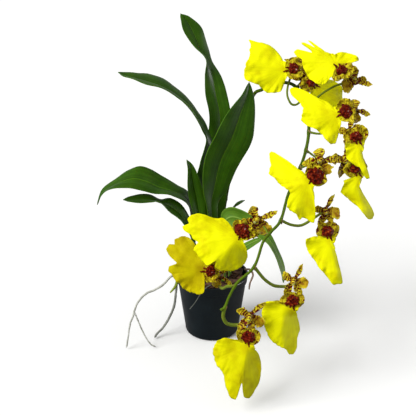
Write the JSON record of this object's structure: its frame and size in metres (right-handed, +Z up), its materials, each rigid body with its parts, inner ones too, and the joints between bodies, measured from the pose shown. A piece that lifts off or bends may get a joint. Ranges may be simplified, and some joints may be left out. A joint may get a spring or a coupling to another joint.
{
  "type": "potted orchid",
  "caption": "Dancing-lady orchid in a small plastic nursery pot: strap leaves from bulbs in bark, and an arching spike of ruffled yellow flowers with maroon-barred petals.",
  "frame": {"origin": "centre of the pot's underside", "axes": "+Z up; the flower spike arches over to +X and hangs down on the -Y side, and the long roots run out to -X"},
  "size_m": [0.2637, 0.1981, 0.3282],
  "materials": {
    "pot_plastic": "satin",
    "bark": "matte",
    "bulb_skin": "satin",
    "leaf": "satin",
    "young_leaf": "satin",
    "stem": "satin",
    "root": "matte",
    "lip_yellow": "satin",
    "spotted_petal": "satin"
  },
  "bodies": {
    "root": {"pot": "pot_plastic", "potting_mix": "bark", "bark_chip_1": "bark", "bark_chip_2": "bark", "bark_chip_3": "bark", "bulb_front": "bulb_skin", "bulb_back": "bulb_skin", "leaf_tall_twisted": "leaf", "leaf_front_broad": "leaf", "leaf_upper_left": "leaf", "leaf_big_left": "leaf", "leaf_lower_left": "leaf", "leaf_small_upright": "leaf", "leaf_right_small": "leaf", "leaf_low_left": "leaf", "leaf_right_trailing": "young_leaf", "leaf_low_right": "young_leaf", "flower_stem": "stem", "pedicel_01": "stem", "pedicel_02": "stem", "pedicel_03": "stem", "pedicel_04": "stem", "pedicel_05": "stem", "pedicel_06": "stem", "pedicel_07": "stem", "pedicel_08": "stem", "pedicel_09": "stem", "pedicel_10": "stem", "pedicel_11": "stem", "pedicel_12": "stem", "flower_lip_01": "lip_yellow", "flower_lip_02": "lip_yellow", "flower_lip_03": "lip_yellow", "flower_lip_04": "lip_yellow", "flower_lip_05": "lip_yellow", "flower_lip_06": "lip_yellow", "flower_lip_07": "lip_yellow", "flower_lip_08": "lip_yellow", "flower_lip_09": "lip_yellow", "flower_lip_10": "lip_yellow", "flower_lip_11": "lip_yellow", "flower_lip_12": "lip_yellow", "flower_star_01": "spotted_petal", "flower_star_02": "spotted_petal", "flower_star_03": "spotted_petal", "flower_star_04": "spotted_petal", "flower_star_05": "spotted_petal", "flower_star_06": "spotted_petal", "flower_star_07": "spotted_petal", "flower_star_08": "spotted_petal", "flower_star_09": "spotted_petal", "flower_star_10": "spotted_petal", "flower_star_11": "spotted_petal", "flower_star_12": "spotted_petal", "root_long": "root", "root_branch": "root", "root_hook": "root", "root_over_rim": "root", "root_right": "root", "new_shoot": "stem"}
  },
  "joints": []
}
